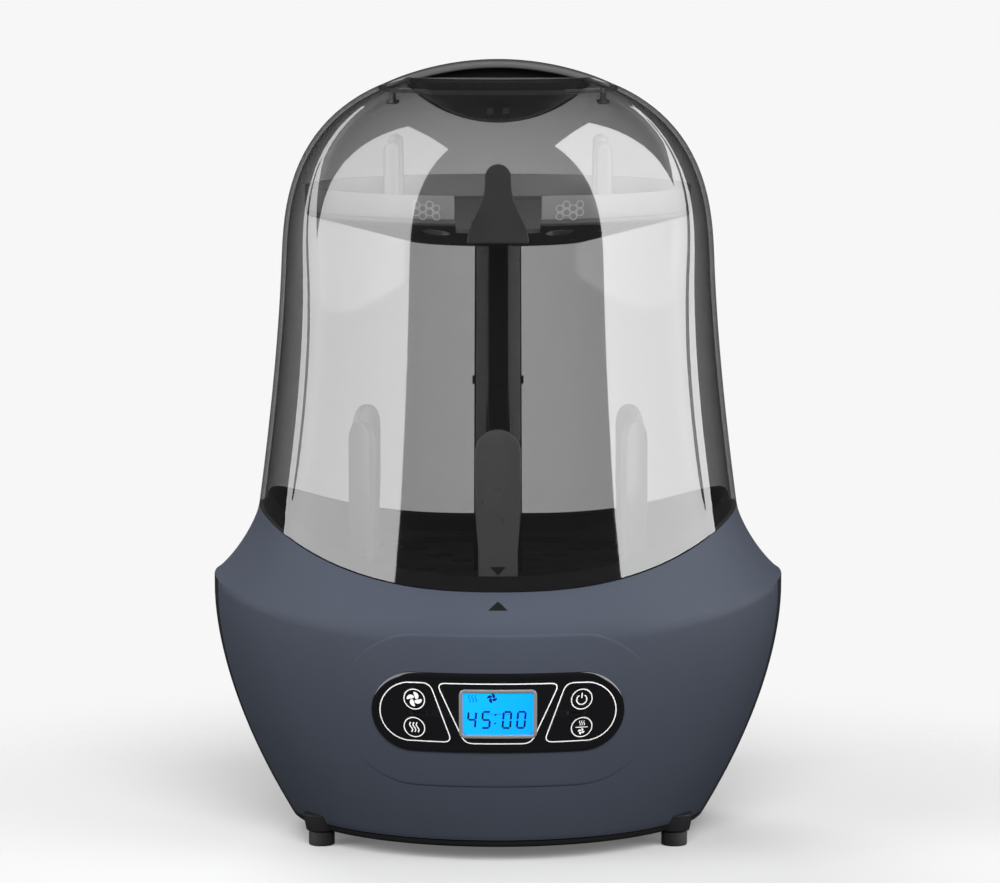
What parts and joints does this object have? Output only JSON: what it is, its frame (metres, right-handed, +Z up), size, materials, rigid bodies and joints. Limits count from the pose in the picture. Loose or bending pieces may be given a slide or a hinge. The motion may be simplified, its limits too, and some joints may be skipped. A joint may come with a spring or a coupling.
{
  "type": "bottle sterilizer",
  "caption": "Electric baby bottle steam sterilizer and dryer: smoky clear dome with a top handle, two racks round a central air tower, slate and black base with a lit control panel.",
  "frame": {"origin": "on the table, under the middle of the base", "axes": "+Z up, the control panel faces -Y, +X to the right of someone facing the panel"},
  "size_m": [0.294, 0.283, 0.3985],
  "materials": {
    "slate_shell": "satin",
    "black_housing": "satin",
    "inner_plastic": "matte",
    "panel_gloss": "gloss",
    "smoky_dome": "clear, smoke tinted",
    "tinted_plastic": "translucent, dark tinted",
    "screen": "lit blue",
    "plate_steel": "brushed",
    "foot_rubber": "matte",
    "silicone": "matte",
    "circuit_board": "satin",
    "filter_media": "matte"
  },
  "bodies": {
    "base": {"front_shell": "slate_shell", "rear_housing": "black_housing", "bottom_cover": "black_housing", "foot_1": "foot_rubber", "foot_2": "foot_rubber", "foot_3": "foot_rubber", "foot_4": "foot_rubber", "bottom_screw_1": "plate_steel", "bottom_screw_2": "plate_steel", "bottom_screw_3": "plate_steel", "bottom_screw_4": "plate_steel", "water_basin": "black_housing", "heating_plate": "plate_steel", "plate_seal": "silicone", "outlet_seal": "silicone", "heating_element": "plate_steel", "thermostat": "inner_plastic", "thermal_fuse": "plate_steel", "air_outlet": "black_housing", "air_duct": "inner_plastic", "air_heater": "plate_steel", "blower_housing": "inner_plastic", "blower_motor": "plate_steel", "filter_sleeve": "inner_plastic", "cord_gland": "foot_rubber", "main_board": "circuit_board", "control_bezel": "panel_gloss", "screen_window": "screen", "screen_module": "plate_steel", "display_board": "circuit_board"},
    "lid": {"lid_dome": "smoky_dome", "lid_vent_cup": "tinted_plastic", "lid_handle": "tinted_plastic", "handle_screw_1": "plate_steel", "handle_screw_2": "plate_steel", "handle_screw_3": "plate_steel", "handle_screw_4": "plate_steel"},
    "upper_rack": {"upper_rack_tray": "tinted_plastic", "nipple_peg_1": "tinted_plastic", "nipple_peg_2": "tinted_plastic", "nipple_peg_3": "tinted_plastic", "nipple_peg_4": "tinted_plastic", "soother_holder": "tinted_plastic"},
    "lower_rack": {"lower_rack_tray": "black_housing", "bottle_post_1": "tinted_plastic", "bottle_post_2": "tinted_plastic", "bottle_post_3": "tinted_plastic", "bottle_post_4": "tinted_plastic", "bottle_post_5": "tinted_plastic", "bottle_post_6": "tinted_plastic", "air_tower": "black_housing"},
    "blower": {"blower_wheel": "inner_plastic", "blower_shaft": "plate_steel"},
    "drawer": {"filter_drawer": "black_housing", "air_filter": "filter_media"},
    "fan_key": {"fan_button": "panel_gloss"},
    "steam_key": {"steam_button": "panel_gloss"},
    "power_key": {"power_button": "panel_gloss"},
    "steam_dry_key": {"steam_dry_button": "panel_gloss"}
  },
  "joints": [
    {"name": "lid_lift", "type": "slide", "parent": "base", "child": "lid", "axis": [0, 0, 1], "range_m": [0, 0.5]},
    {"name": "upper_rack_lift", "type": "slide", "parent": "base", "child": "upper_rack", "axis": [0, 0, 1], "range_m": [0, 0.275]},
    {"name": "lower_rack_lift", "type": "slide", "parent": "base", "child": "lower_rack", "axis": [0, 0, 1], "range_m": [0, 0.1]},
    {"name": "blower_spin", "type": "hinge", "parent": "base", "child": "blower", "pos_m": [0, 0.04, 0.04], "axis": [0, 0, 1], "continuous": true},
    {"name": "drawer_slide", "type": "slide", "parent": "base", "child": "drawer", "axis": [0, 1, 0], "range_m": [0, 0.05]},
    {"name": "fan_press", "type": "slide", "parent": "base", "child": "fan_key", "axis": [0.2733, 0.9322, 0.2375], "range_m": [0, 0.0012], "stiffness_N_per_m": 350},
    {"name": "steam_press", "type": "slide", "parent": "base", "child": "steam_key", "axis": [0.2769, 0.9132, 0.2991], "range_m": [0, 0.0012], "stiffness_N_per_m": 350},
    {"name": "power_press", "type": "slide", "parent": "base", "child": "power_key", "axis": [-0.2733, 0.9322, 0.2375], "range_m": [0, 0.0012], "stiffness_N_per_m": 350},
    {"name": "steam_dry_press", "type": "slide", "parent": "base", "child": "steam_dry_key", "axis": [-0.2769, 0.9132, 0.2991], "range_m": [0, 0.0012], "stiffness_N_per_m": 350}
  ],
  "couplings": [
    {"joint": "upper_rack_lift", "follows": "lid_lift", "ratio": 0.55},
    {"joint": "lower_rack_lift", "follows": "lid_lift", "ratio": 0.2}
  ]
}
